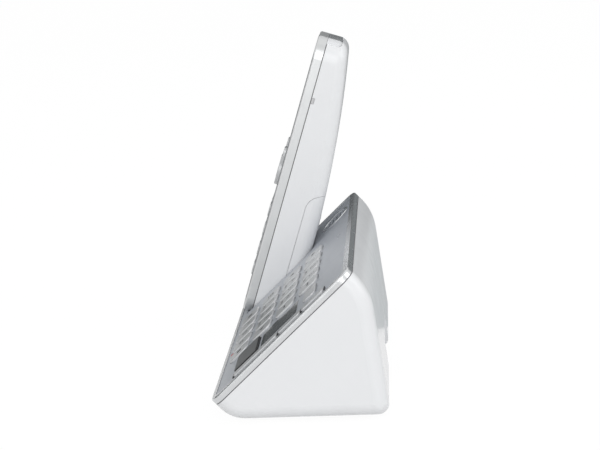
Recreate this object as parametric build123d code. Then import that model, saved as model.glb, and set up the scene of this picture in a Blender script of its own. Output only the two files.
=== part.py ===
# Cordless telephone: a wedge-shaped desk base with a sloping key face, and a
# handset that stands in a cradle on the left of that face.
# Millimetres and degrees. +Z is up, -Y is the user's side, +X is the user's right.
# The origin is on the table, below the middle of the base.

import os
from math import cos, radians, sin, tan

from build123d import *

# Base: overall form
base_width = 184.0
face_front_height = 12.0
face_angle = 42.7
rear_reach = 17.3
rear_lean = 6.4
foot_height = 2.0
shoulder_radius = 30.0
rear_foot_radius = 5.0
nose_radius = 16.0
side_radius = 7.0
shell_wall = 2.2
groove_height = 0.5
groove_depth = 0.6

# Base: silver frame and the panel that it holds
frame_thickness = 3.0
frame_rim = 3.4
frame_edge_radius = 1.0
frame_ledge = 1.2
frame_tongue_height = 2.6
frame_tongue_wall = 1.2
panel_drop = 0.2
panel_thickness = 1.8
fit_gap = 0.15

# Base: keys
key_columns = 5
key_rows = 4
keys_side_margin = 14.1
keys_front_margin = 4.5
keys_rear_margin = 18.9
key_space_x = 2.6
key_space_v = 3.6
key_corner = 3.2
key_corner_share = 0.3
key_rise = 0.9
key_edge_radius = 0.6
key_gap = 0.3
key_lip = 0.9
key_lip_thickness = 0.8
key_travel = 1.0
key_spare = 0.35
answer_key_width = 26.0
answer_key_length = 15.6
answer_key_step = 7.3
answer_key_space = 1.5
menu_key_width = 17.0
menu_key_length = 8.0
side_key_width = 5.8
side_key_margin = 0.4
side_key_end = 15.9
side_key_shares = (2, 1, 1)
side_key_space = 1.0
low_key_rise = 0.7
low_key_edge_radius = 0.4

# Base: display and speaker
display_width = 22.0
display_front_space = 1.7
display_rear_space = 5.0
display_corner = 1.5
lens_thickness = 1.2
lens_ledge = 1.6
display_module_border = 0.6
slot_width = 1.4
slot_pitch = 2.8
speaker_diameter = 20.6
speaker_surround = 2.0
speaker_front_space = 1.0
speaker_rear_space = 0.3
speaker_rim = 2.0
speaker_magnet_step = 4.0
speaker_depth = 8.0

# Base: key mat and circuit board under the panel
mat_thickness = 1.4
dome_height = 0.25
dome_diameter = 6.0
board_thickness = 1.6
board_edge_gap = 0.4
board_post_margin = 4.5
board_side_gap = 2.2
rib_thickness = 2.0
rib_count = 3
rib_cradle_space = 8.4
rib_side = 18.0
rib_front = 7.0
rib_post_space = 12.0
post_diameter = 6.0
post_rear = 14.4
post_inset = 6.1

# Base: underside
plate_front = 24.0
plate_rear_margin = 23.2
plate_side = 14.0
plate_corner = 6.0
plate_ledge = 4.0
ledge_height = 2.0
boss_diameter = 7.0
boss_height = 9.0
boss_inset = 5.0
inner_boss_space = 16.4
screw_diameter = 2.6
screw_head_diameter = 5.4
screw_head_height = 1.2
screw_length = 5.0
screw_bore_gap = 0.05
foot_width = 14.0
front_foot_length = 7.5
rear_foot_length = 12.5
front_foot_y = 16.0
rear_foot_margin = 12.7
foot_side = 22.0
foot_corner = 2.0
foot_sink = 0.8

# Base: sockets in the rear recess
recess_x = 6.0
recess_width = 46.0
recess_top = 20.0
recess_depth = 3.8
socket_wall = 1.6
socket_depth = 13.0
line_socket_width = 9.8
line_socket_height = 7.0
power_socket_width = 7.0
power_socket_height = 5.6
socket_spacing = 20.0

# Handset: overall form, measured from its foot along its length and back from its front
handset_length = 160.0
handset_width = 46.0
handset_depth = 28.6
handset_top_depth = 16.9
handset_flat_back = 42.0
handset_angle = 71.5
handset_side = 30.4
handset_v = 6.2
handset_h = 2.7
handset_top_corner = 12.0
handset_foot_corner = 9.0
handset_back_radius = 6.5
handset_front_radius = 1.2
handset_wall = 1.8
bezel_depth = 5.3
clip_notch_top_space = 34.3
clip_notch_length = 3.4
clip_notch_width = 2.2
clip_notch_depth = 0.8

# Handset: battery door, tray and cells
door_length = 76.0
door_step = 3.0
door_corner = 9.0
door_gap = 0.2
tray_thickness = 1.6
bulkhead_thickness = 1.6
cell_diameter = 10.0
cell_length = 44.5
cell_foot = 17.0
cell_gap = 0.2
cell_spare = 0.7
cell_nub_diameter = 3.6
cell_nub_length = 1.0

# Handset: display, keys and inner pieces
hand_lens_side = 6.0
hand_lens_front_space = 6.8
hand_lens_ear_space = 8.0
hand_lens_corner = 3.0
hand_lens_thickness = 1.0
hand_lens_ledge = 2.0
ear_slot_length = 12.0
ear_slot_width = 1.2
ear_slot_pitch = 2.2
ear_slot_count = 3
ear_top_space = 11.0
earpiece_diameter = 18.0
earpiece_depth = 3.6
microphone_diameter = 6.0
microphone_depth = 3.0
microphone_middle = 9.0
microphone_hole = 1.6
hand_key_columns = 3
hand_key_rows = 4
hand_keys_side = 5.6
hand_keys_foot = 20.8
hand_key_nav_space = 8.3
hand_key_space_x = 2.4
hand_key_space_a = 4.0
hand_key_corner = 2.4
hand_key_rise = 0.7
hand_key_edge_radius = 0.5
hand_key_lip = 0.8
hand_key_travel = 0.8
pair_key_width = 9.0
pair_key_length = 6.4
pair_key_side = 2.9
pair_key_space = 0.9
pair_key_rise = 1.4
nav_key_diameter = 17.4
nav_key_step = 0.2
nav_key_rise = 2.1
hand_mat_thickness = 1.4
hand_board_thickness = 1.4
hand_board_side = 1.2
hand_board_foot = 5.6
hand_board_top_space = 17.0
hand_post_diameter = 4.6
hand_post_side = 4.6
hand_post_row_space = 10.6
hand_post_nav_space = 9.8
hand_screw_diameter = 2.0
hand_screw_head_diameter = 3.8
hand_screw_head_height = 1.4
hand_screw_bite = 3.0
lamp_side = 4.0
lamp_rear = 13.5
lamp_corner = 2.4

# Cradle and its contacts
cradle_side_gap = 0.6
cradle_floor_gap = 0.3
cradle_back_gap = 0.5
cradle_wall = 1.6
cradle_corner = 5.0
cradle_flange = 2.4
cradle_flange_thickness = 1.6
cradle_rear_flange = 4.5
contact_spacing = 18.0
contact_depth = 9.0
contact_diameter = 2.6
contact_length = 6.0
contact_gap = 0.1
contact_collar_diameter = 4.4
contact_collar = 1.0
charge_plate_diameter = 6.0

# Working values that follow from the sizes above
reach = 4.0 * base_width
half_width = base_width / 2.0
slope = radians(face_angle)
lean = radians(rear_lean)
tilt = radians(handset_angle)
stand = tilt - slope
handset_x = handset_side - half_width
cradle_right = handset_x + handset_width / 2.0 + cradle_side_gap + cradle_wall
cradle_back = handset_depth + cradle_back_gap + cradle_wall
cradle_rear = handset_v - (panel_drop + panel_thickness + handset_h) / tan(stand) + cradle_back / sin(stand)
cradle_flange_rear = cradle_rear + cradle_rear_flange
frame_inner = frame_rim + frame_ledge
speaker_v = cradle_flange_rear + speaker_front_space + speaker_diameter / 2.0
face_length = speaker_v + speaker_diameter / 2.0 + speaker_rear_space + frame_inner
base_depth = face_length * cos(slope) + rear_reach
front_tip = frame_edge_radius * (cos(slope) + sin(slope) - 1.0)
rear_tip = base_depth - rear_foot_radius / tan((radians(90.0) - lean) / 2.0) + rear_foot_radius
y_front = -(front_tip + rear_tip) / 2.0
underside = foot_height
floor_top = underside + shell_wall
panel_top = -panel_drop
panel_bottom = panel_top - panel_thickness
lip_top = panel_bottom - key_gap
lip_bottom = lip_top - key_lip_thickness
mat_top = lip_bottom - key_travel - key_spare
board_top = mat_top - mat_thickness
board_bottom = board_top - board_thickness
board_front = frame_inner + board_edge_gap
frame_bottom = -frame_thickness
hand_lip_front = handset_wall + key_gap
hand_lip_back = hand_lip_front + key_lip_thickness
hand_mat_front = hand_lip_back + hand_key_travel + key_spare
hand_board_front = hand_mat_front + hand_mat_thickness
hand_board_back = hand_board_front + hand_board_thickness
tray_back = handset_depth - handset_wall - cell_diameter - 2.0 * cell_gap - cell_spare
tray_depth = tray_back - tray_thickness
door_depth = tray_back + door_step

# Places on the sloping face: X across, V up the slope
side_key_x = half_width - frame_inner - side_key_margin - side_key_width / 2.0
answer_key_x = side_key_x - side_key_width / 2.0 - answer_key_space - answer_key_width / 2.0
answer_key_left = answer_key_x - answer_key_width / 2.0
display_x = answer_key_left + display_width / 2.0
keys_left = cradle_right + keys_side_margin
keys_right = answer_key_left - key_space_x
keys_front = frame_rim + keys_front_margin
keys_rear = face_length - frame_rim - keys_rear_margin
key_pitch_x = (keys_right - keys_left + key_space_x) / key_columns
key_pitch_v = (keys_rear - keys_front + key_space_v) / key_rows
key_width = key_pitch_x - key_space_x
key_length = key_pitch_v - key_space_v
answer_key_v = keys_front + answer_key_step + answer_key_length / 2.0
menu_key_v = keys_rear - menu_key_length / 2.0
display_front = answer_key_v + answer_key_length / 2.0 + display_front_space
display_rear = menu_key_v - menu_key_length / 2.0 - display_rear_space
display_length = display_rear - display_front
display_v = (display_front + display_rear) / 2.0
grille_diameter = speaker_diameter - 2.0 * speaker_surround
post_v = face_length - post_rear
board_rear = post_v + board_post_margin
rib_rear = post_v - rib_post_space
rib_left = cradle_right + rib_cradle_space
rib_step = (half_width - rib_side - rib_left) / (rib_count - 1)
post_places = (rib_left, keys_right - post_inset)

# Places under the base, back from the front edge of the face
plate_rear = base_depth - plate_rear_margin
rear_foot_y = base_depth - rear_foot_margin
recess_floor = base_depth - recess_depth
inner_boss_x = cradle_right + inner_boss_space

# Places along the handset, up from its foot
nav_key_middle = handset_length / 2.0 + nav_key_step
nav_key_reach = nav_key_diameter / 2.0
hand_keys_end = nav_key_middle - nav_key_reach - hand_key_nav_space
hand_key_pitch_a = (hand_keys_end - hand_keys_foot + hand_key_space_a) / hand_key_rows
hand_key_length = hand_key_pitch_a - hand_key_space_a
hand_key_first_row = hand_keys_foot + hand_key_length / 2.0
dial_key_corner = min(hand_key_corner, hand_key_length / 2.0 - hand_key_edge_radius)
pair_key_middle = nav_key_middle + nav_key_reach + pair_key_space + pair_key_length / 2.0
ear_middle = handset_length - ear_top_space
hand_lens_low = pair_key_middle + pair_key_length / 2.0 + hand_lens_front_space
hand_lens_high = ear_middle - hand_lens_ear_space
hand_lens_length = hand_lens_high - hand_lens_low
hand_lens_middle = (hand_lens_low + hand_lens_high) / 2.0
hand_board_top = handset_length - hand_board_top_space
clip_notch_middle = handset_length - clip_notch_top_space
hand_post_places = (hand_key_first_row - hand_post_row_space, nav_key_middle - hand_post_nav_space)

# Places across the handset, from its middle
hand_keys_span = handset_width - 2.0 * hand_keys_side
hand_key_pitch_x = (hand_keys_span + hand_key_space_x) / hand_key_columns
hand_key_width = hand_key_pitch_x - hand_key_space_x
pair_key_x = handset_width / 2.0 - pair_key_side - pair_key_width / 2.0
hand_post_x = handset_width / 2.0 - handset_wall - hand_post_side
hand_lens_width = handset_width - 2.0 * hand_lens_side
lamp_width = handset_width - 2.0 * lamp_side

face_plane = Plane(
    origin=(0, y_front, face_front_height),
    x_dir=(1, 0, 0),
    z_dir=(0, -sin(slope), cos(slope)),
)
hand_plane = Plane(
    origin=face_plane.from_local_coords((handset_x, handset_v, handset_h)),
    x_dir=(1, 0, 0),
    z_dir=(0, -sin(tilt), cos(tilt)),
)


# Small shapes used all over

def block(x0, x1, y0, y1, z0, z1):
    """Box between two limits on each axis."""
    middle = Pos((x0 + x1) / 2.0, (y0 + y1) / 2.0, (z0 + z1) / 2.0)
    return middle * Box(x1 - x0, y1 - y0, z1 - z0)


def pad(width, length, corner, x, y, z0, z1):
    """Round-cornered plate, centred on x and y, between two heights."""
    return Pos(x, y, z0) * extrude(RectangleRounded(width, length, corner), z1 - z0)


def disc(diameter, x, y, z0, z1):
    """Round plate or pin, along the local Z axis."""
    return Pos(x, y, (z0 + z1) / 2.0) * Cylinder(diameter / 2.0, z1 - z0)


def slab(h0, h1):
    """Everything between two heights measured out of the sloping face."""
    return face_plane * block(-reach, reach, -reach, reach, h0, h1)


def round_top(solid, radius):
    """Round the rim of the highest face of a solid in its local frame."""
    return fillet(solid.faces().sort_by(Axis.Z)[-1].edges(), radius)


def meet(line_a, line_b):
    """Crossing point of two lines, each a point and a direction in Y and Z."""
    (ay, az), (ady, adz) = line_a
    (by, bz), (bdy, bdz) = line_b
    cross = ady * bdz - adz * bdy
    step = ((by - ay) * bdz - (bz - az) * bdy) / cross
    return ay + step * ady, az + step * adz


def edge_line(point, direction, inward, inset):
    """A side of the base's profile, moved inwards by the inset."""
    moved = (point[0] + inward[0] * inset, point[1] + inward[1] * inset)
    return moved, direction


# The wedge of the base, solid, with every outer surface moved inwards by an inset

def base_body(inset):
    up = (cos(slope), sin(slope))
    down = (sin(slope), -cos(slope))
    front = (y_front, face_front_height)
    top = (front[0] + up[0] * face_length, front[1] + up[1] * face_length)
    rear = (y_front + base_depth, underside)
    face = edge_line(front, up, down, inset)
    nose = edge_line(front, down, up, inset)
    end = edge_line(top, down, (-up[0], -up[1]), inset)
    back = edge_line(rear, (-sin(lean), cos(lean)), (-cos(lean), -sin(lean)), inset)
    base = edge_line(rear, (1.0, 0.0), (0.0, 1.0), inset)
    corners = [
        (meet(nose, face), 0.0),
        (meet(face, end), 0.0),
        (meet(end, back), shoulder_radius),
        (meet(back, base), rear_foot_radius),
        (meet(base, nose), nose_radius),
    ]
    outline = make_face(Polyline([point for point, _ in corners], close=True))
    for point, radius in corners:
        if radius > 0.0:
            corner = outline.vertices().sort_by_distance((point[0], point[1], 0))[0]
            outline = fillet(corner, radius - inset)
    solid = extrude(Plane.YZ * outline, half_width - inset, both=True)
    rims = []
    for side in solid.faces().filter_by(Axis.X):
        rims.extend(side.edges().sort_by(SortBy.LENGTH)[:-1])
    return fillet(rims, side_radius - inset)


def face_ring(inset, h0, h1):
    """Plate over the whole face, with its outline moved inwards by an inset."""
    width = base_width - 2.0 * inset
    length = face_length - 2.0 * inset
    corner = side_radius - inset
    return face_plane * pad(width, length, corner, 0, face_length / 2.0, h0, h1)


# The handset, solid, with every outer surface moved inwards by an inset

def hand_outline(inset):
    half = handset_width / 2.0 - inset
    low = inset
    high = handset_length - inset
    outline = make_face(Polyline([(-half, low), (half, low), (half, high), (-half, high)], close=True))
    by_height = outline.vertices().sort_by(Axis.Y)
    outline = fillet(by_height[:2], handset_foot_corner - inset)
    by_height = outline.vertices().sort_by(Axis.Y)
    return fillet(by_height[-2:], handset_top_corner - inset)


def hand_body(inset):
    half = handset_width / 2.0
    flat = (handset_flat_back, -handset_depth + inset)
    crest = (handset_length, -handset_top_depth + inset)
    sides = [
        Line((0, -inset), (handset_length, -inset)),
        Line((handset_length, -inset), crest),
        TangentArc(flat, crest, tangent=(1, 0)),
        Line(flat, (0, flat[1])),
        Line((0, flat[1]), (0, -inset)),
    ]
    profile = make_face(sides)
    solid = extrude(Plane.YZ * profile, half, both=True)
    solid = solid & Pos(0, 0, -handset_depth) * extrude(hand_outline(inset), handset_depth)
    rims = []
    for back in solid.faces():
        if back.normal_at().Z < -0.9:
            rims.extend(back.edges())
    seam_free = [edge for edge in rims if not is_back_seam(edge)]
    return fillet(seam_free, handset_back_radius - inset)


def is_back_seam(edge):
    """The line across the back where its flat foot turns into the curve."""
    middle = edge.center()
    level = abs(edge.bounding_box().size.Y) < 1e-3
    return level and abs(middle.Y - handset_flat_back) < 1e-3


# Base: shell, bottom plate, feet and screws

def plate_outline(grow, z0, z1):
    width = base_width - 2.0 * plate_side + 2.0 * grow
    length = plate_rear - plate_front + 2.0 * grow
    middle = y_front + (plate_front + plate_rear) / 2.0
    return pad(width, length, plate_corner + grow, 0, middle, z0, z1)


def screw_spots():
    """Places of the bottom plate's screws; the front left one stands clear of the cradle."""
    far = half_width - plate_side - boss_inset
    low = y_front + plate_front + boss_inset
    high = y_front + plate_rear - boss_inset
    return [(-far, high), (far, high), (far, low), (inner_boss_x, low)]


def foot_spots():
    """Middle of each foot and its length along Y."""
    spots = []
    for side in (-1.0, 1.0):
        x = side * (half_width - foot_side)
        spots.append((x, y_front + front_foot_y, front_foot_length))
        spots.append((x, y_front + rear_foot_y, rear_foot_length))
    return spots


def recess_box(grow, y0):
    low = recess_x - recess_width / 2.0 - grow
    high = recess_x + recess_width / 2.0 + grow
    return block(low, high, y0, y_front + 2.0 * base_depth, -reach, recess_top + grow)


def socket_spots():
    """Name, middle and mouth of each socket in the rear recess."""
    half = socket_spacing / 2.0
    return [
        ("line_socket", recess_x - half, line_socket_width, line_socket_height),
        ("power_socket", recess_x + half, power_socket_width, power_socket_height),
    ]


def socket_block(x, width, height, grow):
    side = width / 2.0 + socket_wall + grow
    rear = y_front + recess_floor
    top = floor_top + height + 2.0 * socket_wall + grow
    return block(x - side, x + side, rear - socket_depth, rear, floor_top, top)


def make_base_shell(outer, inner):
    shell = outer - slab(frame_bottom, reach) - inner
    backing = outer & recess_box(shell_wall, y_front + recess_floor - shell_wall)
    shell = shell + (backing - slab(frame_bottom, reach))
    shell = shell - recess_box(0.0, y_front + recess_floor)
    groove = slab(frame_bottom - groove_height, frame_bottom) - base_body(groove_depth)
    shell = shell - groove
    ledge = plate_outline(plate_ledge, floor_top, floor_top + ledge_height)
    shell = shell + (ledge & inner)
    web = face_plane * block(-reach, reach, rib_front, rib_rear, -reach, board_bottom)
    for number in range(rib_count):
        x = rib_left + number * rib_step
        rib = block(x - rib_thickness / 2.0, x + rib_thickness / 2.0, -reach, reach, floor_top, reach)
        shell = shell + (rib & web & inner)
    well = plate_outline(-plate_ledge, -reach, floor_top + ledge_height)
    shell = shell - well - plate_outline(0.0, -reach, floor_top)
    for x, y in screw_spots():
        shell = shell + disc(boss_diameter, x, y, floor_top, floor_top + boss_height)
        bore = screw_diameter + 2.0 * screw_bore_gap
        shell = shell - disc(bore, x, y, floor_top, floor_top + boss_height - shell_wall)
    for x, y, length in foot_spots():
        sunk = pad(foot_width, length, foot_corner, x, y, -reach, underside + foot_sink)
        shell = shell - sunk
    for _, x, width, height in socket_spots():
        shell = shell - socket_block(x, width, height, fit_gap)
    return shell


def make_bottom_plate():
    plate = plate_outline(-fit_gap, underside, floor_top)
    for x, y in screw_spots():
        head = screw_head_diameter + 2.0 * fit_gap
        plate = plate - disc(screw_diameter + 2.0 * fit_gap, x, y, underside, floor_top)
        plate = plate - disc(head, x, y, underside, floor_top - shell_wall + screw_head_height)
    return plate


def make_feet():
    feet = []
    for x, y, length in foot_spots():
        feet.append(pad(foot_width, length, foot_corner, x, y, 0.0, underside + foot_sink))
    return feet


def make_screw(head_diameter, head_height, diameter, length):
    """Screw with its head's underside at the origin and its shank along +Z."""
    head = disc(head_diameter, 0, 0, -head_height, 0.0)
    return head + disc(diameter, 0, 0, 0.0, length)


def make_base_screws():
    screw = make_screw(screw_head_diameter, screw_head_height, screw_diameter, screw_length)
    seat = floor_top - shell_wall + screw_head_height
    screws = [Pos(x, y, seat) * screw for x, y in screw_spots()]
    for x in post_places:
        screws.append(face_plane * Pos(x, post_v, board_bottom) * screw)
    return screws


def make_socket(x, width, height):
    solid = socket_block(x, width, height, 0.0)
    rear = y_front + recess_floor
    low = floor_top + socket_wall
    front = rear - socket_depth + socket_wall
    return solid - block(x - width / 2.0, x + width / 2.0, front, rear, low, low + height)


# Base: frame, panel and what lies under the panel

def make_face_frame(outer):
    rimmed = fillet(outer.faces().sort_by(Axis((0, 0, 0), face_plane.z_dir))[-1].edges(), frame_edge_radius)
    frame = rimmed & slab(frame_bottom, reach)
    tongue_out = shell_wall + fit_gap
    tongue = face_ring(tongue_out, frame_bottom - frame_tongue_height, frame_bottom)
    frame = frame + tongue
    frame = frame - face_ring(frame_rim, panel_bottom, reach)
    inner = max(frame_inner, tongue_out + frame_tongue_wall)
    return frame - face_ring(inner, -reach, reach)


def key_hole(width, length, corner, x, v):
    return face_plane * pad(
        width + 2.0 * key_gap, length + 2.0 * key_gap, corner + key_gap, x, v, -reach, reach
    )


def key_middle(column, row):
    x = keys_left + key_width / 2.0 + column * key_pitch_x
    return x, keys_front + key_length / 2.0 + row * key_pitch_v


def side_keys():
    """Middle along the slope and length of each slim key at the right."""
    keys = []
    start = side_key_end
    room = face_length - 2.0 * side_key_end - (len(side_key_shares) - 1) * side_key_space
    for share in side_key_shares:
        length = room * share / sum(side_key_shares)
        keys.append((start + length / 2.0, length))
        start = start + length + side_key_space
    return keys


def key_list():
    """Name, size, place, rise and lips (left, right, front, back) of each key of the base."""
    lip = key_lip
    keys = []
    for row in range(key_rows):
        for column in range(key_columns):
            x, v = key_middle(column, row)
            name = f"key_row{key_rows - row}_col{column + 1}"
            keys.append((name, key_width, key_length, x, v, key_rise, (lip, lip, 0.0, 0.0)))
    size = (answer_key_width, answer_key_length, answer_key_x, answer_key_v)
    keys.append(("answer_key", *size, low_key_rise, (lip, 0.0, lip, 0.0)))
    size = (menu_key_width, menu_key_length, display_x, menu_key_v)
    keys.append(("menu_key", *size, low_key_rise, (lip, lip, 0.0, lip)))
    for number, (v, length) in enumerate(side_keys()):
        size = (side_key_width, length, side_key_x, v)
        keys.append((f"side_key_{number + 1}", *size, low_key_rise, (lip, 0.0, 0.0, 0.0)))
    return keys


def key_corner_of(width, length):
    return min(key_corner, key_corner_share * width, key_corner_share * length)


def make_key(width, length, x, v, rise, lips):
    left, right, front, back = lips
    cap = pad(width, length, key_corner_of(width, length), x, v, lip_bottom, rise)
    cap = round_top(cap, key_edge_radius if rise == key_rise else low_key_edge_radius)
    low = v - length / 2.0 - front
    high = v + length / 2.0 + back
    lip = block(x - width / 2.0 - left, x + width / 2.0 + right, low, high, lip_bottom, lip_top)
    return face_plane * (cap + lip)


def make_face_panel(pocket):
    panel = face_ring(frame_rim + fit_gap, panel_bottom, panel_top)
    for _, width, length, x, v, _, _ in key_list():
        panel = panel - key_hole(width, length, key_corner_of(width, length), x, v)
    seat = pad(display_width, display_length, display_corner, display_x, display_v,
               panel_top - lens_thickness, reach)
    view_width = display_width - 2.0 * lens_ledge
    view_length = display_length - 2.0 * lens_ledge
    view = pad(view_width, view_length, display_corner, display_x, display_v, -reach, reach)
    panel = panel - face_plane * seat - face_plane * view
    for slot in grille_slots():
        panel = panel - face_plane * slot
    for x in post_places:
        post = disc(post_diameter, x, post_v, board_top, panel_bottom)
        bore = disc(screw_diameter + 2.0 * screw_bore_gap, x, post_v, -reach, panel_bottom)
        panel = panel + face_plane * (post - bore)
    return panel - pocket


def grille_slots():
    """Slots across the grille, each as long as the circle allows."""
    slots = []
    radius = grille_diameter / 2.0
    count = int((grille_diameter - slot_width) / slot_pitch) + 1
    for number in range(count):
        v = (number - (count - 1) / 2.0) * slot_pitch
        half = (radius ** 2 - (abs(v) + slot_width / 2.0) ** 2) ** 0.5
        if half > slot_width:
            slot = SlotOverall(2.0 * half, slot_width)
            thickness = 2.0 * panel_thickness
            slots.append(Pos(handset_x, speaker_v + v, panel_bottom - panel_thickness / 2.0)
                         * extrude(slot, thickness))
    return slots


def make_display_lens():
    width = display_width - 2.0 * fit_gap
    length = display_length - 2.0 * fit_gap
    return face_plane * pad(width, length, display_corner, display_x, display_v,
                            panel_top - lens_thickness, panel_top)


def display_box(grow, h0, h1):
    width = display_width + 2.0 * grow
    length = display_length + 2.0 * grow
    return face_plane * pad(width, length, display_corner, display_x, display_v, h0, h1)


def make_display_module():
    return display_box(-display_module_border, board_top, panel_bottom - fit_gap)


def sheet_under_keys(h0, h1):
    left = cradle_right + board_side_gap
    right = half_width - board_front
    sheet = face_plane * block(left, right, board_front, board_rear, h0, h1)
    return sheet & face_ring(board_front, h0, h1)


def make_key_mat():
    mat = sheet_under_keys(board_top, mat_top)
    mat = mat - display_box(fit_gap, -reach, reach)
    for x in post_places:
        mat = mat - face_plane * disc(post_diameter + 2.0 * fit_gap, x, post_v, -reach, reach)
    for _, width, length, x, v, _, _ in key_list():
        size = min(dome_diameter, width - key_gap, length - key_gap)
        mat = mat + face_plane * disc(size, x, v, mat_top, mat_top + dome_height)
    return mat


def make_base_board():
    board = sheet_under_keys(board_bottom, board_top)
    for x in post_places:
        hole = disc(screw_diameter + 2.0 * fit_gap, x, post_v, -reach, reach)
        board = board - face_plane * hole
    return board


def make_base_speaker():
    rim = disc(speaker_diameter, handset_x, speaker_v, panel_bottom - speaker_rim, panel_bottom)
    magnet = disc(speaker_diameter - 2.0 * speaker_magnet_step, handset_x, speaker_v,
                  panel_bottom - speaker_depth, panel_bottom - speaker_rim)
    return face_plane * (rim + magnet)


# Cradle: the pocket that the handset stands in, and the contacts on its floor

def pocket_prism(grow, foot):
    """Space of the handset's lower end, open to the front and upwards along the handset."""
    half = handset_width / 2.0 + cradle_side_gap + grow
    back = cradle_back - cradle_wall + grow
    corner = cradle_corner + grow
    outline = make_face(Polyline([(-half, -back), (half, -back), (half, reach), (-half, reach)], close=True))
    outline = fillet(outline.vertices().sort_by(Axis.Y)[:2], corner)
    prism = extrude(Plane.XZ * outline, -reach)
    return hand_plane * Pos(0, foot, 0) * prism


def make_cradle(pocket):
    tray = pocket_prism(cradle_wall, -cradle_floor_gap - cradle_wall)
    half = cradle_right - handset_x
    flange = face_plane * block(
        handset_x - half, cradle_right + cradle_flange, board_front, cradle_flange_rear,
        panel_bottom - cradle_flange_thickness, panel_bottom,
    )
    tray = tray - slab(panel_bottom, reach)
    tray = (tray + flange) & face_ring(board_front, -reach, panel_bottom)
    tray = tray - pocket
    for x in contact_places():
        hole = contact_pin(x, contact_diameter + 2.0 * fit_gap, -contact_length, 0.0)
        tray = tray - hole
    return tray


def contact_places():
    half = contact_spacing / 2.0
    return (-half, half)


def contact_pin(x, diameter, a0, a1):
    """Pin along the handset's length, through the floor of the cradle."""
    pin = Pos(x, (a0 + a1) / 2.0, -contact_depth) * Rot(90, 0, 0) * Cylinder(diameter / 2.0, a1 - a0)
    return hand_plane * pin


def make_cradle_contacts():
    contacts = []
    below = -cradle_floor_gap - cradle_wall
    for x in contact_places():
        pin = contact_pin(x, contact_diameter, -contact_length, -contact_gap)
        collar = contact_pin(x, contact_collar_diameter, below - contact_collar, below)
        contacts.append(pin + collar)
    return contacts


# Handset: casings

def hand_slab(t0, t1):
    """Everything between two depths measured back from the handset's front."""
    return block(-reach, reach, -reach, reach, -t1, -t0)


def door_region(grow):
    """Side view of the battery door: the lower back, with a rounded upper corner."""
    top = door_length + grow
    front = -door_depth + grow
    outline = make_face(Polyline(
        [(-reach, -reach), (top, -reach), (top, front), (-reach, front)], close=True))
    corner = outline.vertices().sort_by_distance((top, front, 0))[0]
    outline = fillet(corner, door_corner + grow)
    return extrude(Plane.YZ * outline, reach, both=True)


def hand_key_list():
    """Name and list of caps (width, length, corner, x, place, rise) of each handset key node."""
    keys = []
    for row in range(hand_key_rows):
        a = hand_key_first_row + row * hand_key_pitch_a
        caps = []
        for column in range(hand_key_columns):
            x = (column - (hand_key_columns - 1) / 2.0) * hand_key_pitch_x
            caps.append((hand_key_width, hand_key_length, dial_key_corner, x, a, hand_key_rise))
        keys.append((f"handset_dial_row_{hand_key_rows - row}", caps))
    pair = (pair_key_width, pair_key_length, hand_key_corner)
    keys.append(("talk_key", [(*pair, -pair_key_x, pair_key_middle, pair_key_rise)]))
    keys.append(("end_key", [(*pair, pair_key_x, pair_key_middle, pair_key_rise)]))
    round_corner = nav_key_reach - hand_key_edge_radius
    nav = (nav_key_diameter, nav_key_diameter, round_corner, 0.0, nav_key_middle, nav_key_rise)
    keys.append(("navigation_key", [nav]))
    return keys


def make_hand_keys(caps):
    solids = []
    for width, length, corner, x, a, rise in caps:
        cap = round_top(pad(width, length, corner, x, a, -hand_lip_back, rise), hand_key_edge_radius)
        lip = pad(width + 2.0 * hand_key_lip, length + 2.0 * hand_key_lip, corner + hand_key_lip, x, a,
                  -hand_lip_back, -hand_lip_front)
        solids.append(hand_plane * (cap + lip))
    return solids


def hand_posts():
    return [(side * hand_post_x, a) for a in hand_post_places for side in (-1.0, 1.0)]


def make_handset_bezel(outer, inner):
    front_rim = outer.faces().sort_by(Axis.Z)[-1].edges()
    bezel = (fillet(front_rim, handset_front_radius) - inner) & hand_slab(-reach, bezel_depth)
    for _, caps in hand_key_list():
        for width, length, corner, x, a, _ in caps:
            hole_width = width + 2.0 * key_gap
            hole_length = length + 2.0 * key_gap
            bezel = bezel - pad(hole_width, hole_length, corner + key_gap, x, a, -bezel_depth, reach)
    seat = pad(hand_lens_width, hand_lens_length, hand_lens_corner, 0, hand_lens_middle,
               -hand_lens_thickness, reach)
    view = pad(hand_lens_width - 2.0 * hand_lens_ledge, hand_lens_length - 2.0 * hand_lens_ledge,
               hand_lens_corner, 0, hand_lens_middle, -bezel_depth, reach)
    bezel = bezel - seat - view
    for number in range(ear_slot_count):
        a = ear_middle + (number - (ear_slot_count - 1) / 2.0) * ear_slot_pitch
        slot = Pos(0, a, -bezel_depth) * extrude(SlotOverall(ear_slot_length, ear_slot_width), reach)
        bezel = bezel - slot
    bezel = bezel - disc(microphone_hole, 0, microphone_middle, -bezel_depth, reach)
    for x, a in hand_posts():
        bore = hand_screw_diameter + 2.0 * screw_bore_gap
        bezel = bezel + disc(hand_post_diameter, x, a, -hand_board_front, -handset_wall)
        bezel = bezel - disc(bore, x, a, -reach, -hand_board_front + hand_screw_bite)
    return hand_plane * bezel


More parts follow.
